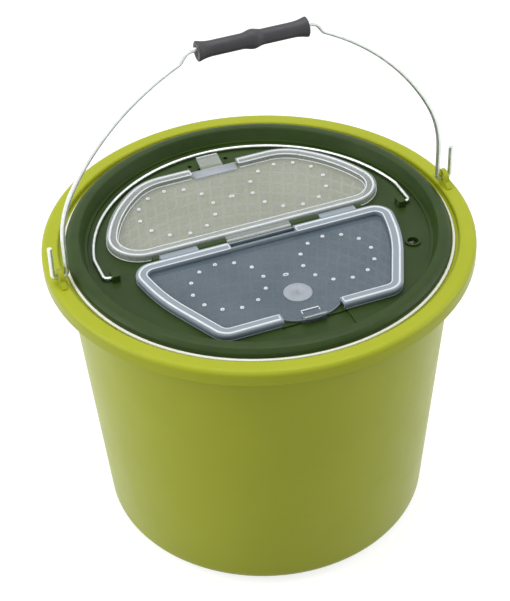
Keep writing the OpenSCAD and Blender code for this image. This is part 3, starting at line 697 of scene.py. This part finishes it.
def rearBridge():
    # Frosted strip across the latch gap of the rear door, with rounded corners. Each of its levels is
    # how far it is drawn in and its height over the panel.
    z, half, (y0, y1), r = doorSizes["panelZ"], bridgeSizes["half"], bridgeSizes["y"], bridgeSizes["round"]
    corners = ((half - r, y1 - r, 0), (r - half, y1 - r, 90),
               (r - half, y0 + r, 180), (half - r, y0 + r, 270))
    outline = [(cx, cy, radians(start + 90 * i / 6)) for cx, cy, start in corners for i in range(7)]
    rows = [(cx + (r - inset) * cos(a), cy + (r - inset) * sin(a), z + up)
            for inset, up in bridgeSizes["levels"] for cx, cy, a in outline]
    count, last = len(outline), len(bridgeSizes["levels"]) - 1
    faces = []
    for k in range(last):
        for i in range(count):
            j = (i + 1) % count
            faces.append((k * count + i, k * count + j, (k + 1) * count + j, (k + 1) * count + i))
    faces += [tuple(range(count)), tuple(range(last * count, (last + 1) * count))]
    return meshObject("rearLatchBridge", rows, faces, padStyrene)


latchBridge = rearBridge()


# Hand grip: turned from a smooth profile with a raised ring and flared ends

gripSizes = {"z": 392.55, "length": 78.0, "bore": 3.4, "body": 5.3, "end": 7.2, "ring": 6.7,
             "flareLength": 11, "ringHalf": 7.5, "plain": 1.2, "soft": 0.35, "face": 0.9}


def handGrip():
    s = gripSizes
    half = s["length"] / 2

    def outer(x):
        away = abs(x)
        flare = max(0.0, 1 - (half - away) / s["flareLength"]) ** 2
        ring = max(0.0, 1 - away / s["ringHalf"])
        ring = ring * ring * (3 - 2 * ring)
        return s["body"] + (s["end"] - s["body"]) * min(1, flare) + (s["ring"] - s["body"]) * ring

    face, soft = outer(half) - s["face"], outer(half) - s["soft"]
    inner = half - s["plain"]
    steps = 72
    xs = [-inner + 2 * inner * i / steps for i in range(steps + 1)]
    profile = [(s["bore"], -half), (face, -half), (soft, -half + s["soft"])]
    profile += [(outer(x), x) for x in xs]
    profile += [(soft, half - s["soft"]), (face, half), (s["bore"], half)]
    return turned("handGrip", profile, steps, gripPolyethylene, (0, 0, s["z"]))


grip = handGrip()
print("hand grip turned")


# Camera, fitted to the photograph's view of the rim, the wires and the doors

cameraSizes = {"distance": 1.26991, "aim": 0.10333, "elevation": 41.1584, "turn": 20.846,
               "pitch": 2.4514, "yaw": -0.1956, "roll": -1.8634, "lens": 117.205}


def placeCamera():
    s = cameraSizes
    e, pitch, yaw, roll = (radians(s[k]) for k in ("elevation", "pitch", "yaw", "roll"))
    position = Vector((0, -s["distance"] * cos(e), s["aim"] + s["distance"] * sin(e)))
    ahead = Vector((0, cos(e), -sin(e)))
    right = Vector((1, 0, 0))
    up = right.cross(ahead)
    ahead, up = ahead * cos(pitch) + up * sin(pitch), up * cos(pitch) - ahead * sin(pitch)
    ahead, right = ahead * cos(yaw) + right * sin(yaw), right * cos(yaw) - ahead * sin(yaw)
    right, up = right * cos(roll) + up * sin(roll), up * cos(roll) - right * sin(roll)
    turn = Matrix.Rotation(radians(-s["turn"]), 3, "Z")
    right, up, ahead, position = turn @ right, turn @ up, turn @ ahead, turn @ position
    data = bpy.data.cameras.new("photoCamera")
    data.sensor_fit = "HORIZONTAL"
    data.sensor_width = 36
    data.lens = s["lens"]
    camera = bpy.data.objects.new("photoCamera", data)
    camera.matrix_world = Matrix(((right.x, up.x, -ahead.x, position.x),
                                  (right.y, up.y, -ahead.y, position.y),
                                  (right.z, up.z, -ahead.z, position.z), (0, 0, 0, 1)))
    bpy.context.scene.collection.objects.link(camera)
    bpy.context.scene.camera = camera
    return right, ahead


right, ahead = placeCamera()


# Studio: pale floor, soft lamps, white surroundings

studio = {"leftPower": 12.5, "rightPower": 7.5, "topPower": 12.0, "frontPower": 3.5, "world": 0.4,
          "floor": "#b4b4b2", "floorGlow": 0.76, "floorHalf": 4000, "lampAim": 0.18}


def softLamp(name, power, size, position):
    data = bpy.data.lights.new(name, "AREA")
    data.shape = "RECTANGLE"
    data.size, data.size_y = size
    data.energy = power
    lamp = bpy.data.objects.new(name, data)
    lamp.location = position
    aim = Vector((0, 0, studio["lampAim"])) - Vector(position)
    lamp.rotation_euler = aim.to_track_quat("-Z", "Y").to_euler()
    bpy.context.scene.collection.objects.link(lamp)


flatAhead = Vector((ahead.x, ahead.y, 0)).normalized()
flatRight = Vector((right.x, right.y, 0)).normalized()


def stagePoint(side, depth, height):
    # Place by how far right of, behind and above the bucket's middle, seen from the camera
    return flatRight * side + flatAhead * depth + Vector((0, 0, height))


softLamp("leftLamp", studio["leftPower"], (1.0, 1.2), stagePoint(-1.35, -0.25, 0.95))
softLamp("rightLamp", studio["rightPower"], (0.9, 1.2), stagePoint(1.4, 0.1, 0.8))
softLamp("topLamp", studio["topPower"], (1.4, 1.0), stagePoint(0.0, 0.25, 1.7))
softLamp("frontLamp", studio["frontPower"], (1.2, 0.8), stagePoint(-0.2, -1.5, 1.2))


def pureWhiteFor(tree):
    # 1 for the rays that see the surroundings directly, in a mirror-like metal or through glass
    rays = addNode(tree, "ShaderNodeLightPath")
    first = addNode(tree, "ShaderNodeMath",
                    {0: rays.outputs["Is Camera Ray"], 1: rays.outputs["Is Glossy Ray"]}, operation="MAXIMUM")
    either = addNode(tree, "ShaderNodeMath",
                     {0: first.outputs[0], 1: rays.outputs["Is Transmission Ray"]}, operation="MAXIMUM")
    return either.outputs[0]


def whiteSurroundings():
    world = bpy.data.worlds.new("studioWorld")
    world.use_nodes = True
    tree = world.node_tree
    tree.nodes.clear()
    level = addNode(tree, "ShaderNodeMapRange",
                    {"Value": pureWhiteFor(tree), "To Min": studio["world"], "To Max": 1.0})
    light = addNode(tree, "ShaderNodeBackground", {"Color": (1, 1, 1, 1), "Strength": level.outputs[0]})
    addNode(tree, "ShaderNodeOutputWorld", {"Surface": light.outputs[0]})
    bpy.context.scene.world = world


def paleFloor():
    material, tree = newMaterial("paleStudioFloor")
    matte = addNode(tree, "ShaderNodeBsdfDiffuse", {"Color": hexToLinear(studio["floor"])})
    seen = addNode(tree, "ShaderNodeMath",
                   {0: pureWhiteFor(tree), 1: studio["floorGlow"]}, operation="MULTIPLY")
    glow = addNode(tree, "ShaderNodeEmission", {"Color": (1, 1, 1, 1), "Strength": seen.outputs[0]})
    surface = addNode(tree, "ShaderNodeAddShader", {0: matte.outputs[0], 1: glow.outputs[0]})
    addNode(tree, "ShaderNodeOutputMaterial", {"Surface": surface.outputs[0]})
    half = studio["floorHalf"]
    corners = [(-half, -half, 0), (half, -half, 0), (half, half, 0), (-half, half, 0)]
    floor = meshObject("studioFloor", corners, [(0, 1, 2, 3)], material, smooth=False)


whiteSurroundings()
paleFloor()
bpy.context.scene.view_settings.view_transform = "Standard"
print("studio lit")


# Each piece rides on the body of the real part that carries it

for piece in basketPieces:
    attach(piece, "insert")
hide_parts("basket")
for piece in (frontEdgeHighlights, frontVents, doorPad):
    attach(piece, "front_door")
for piece in (rearEdgeHighlights, rearVents, latchBridge):
    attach(piece, "rear_door")
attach(grip, "grip")
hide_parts("grip")

print("pieces dressed and seated")
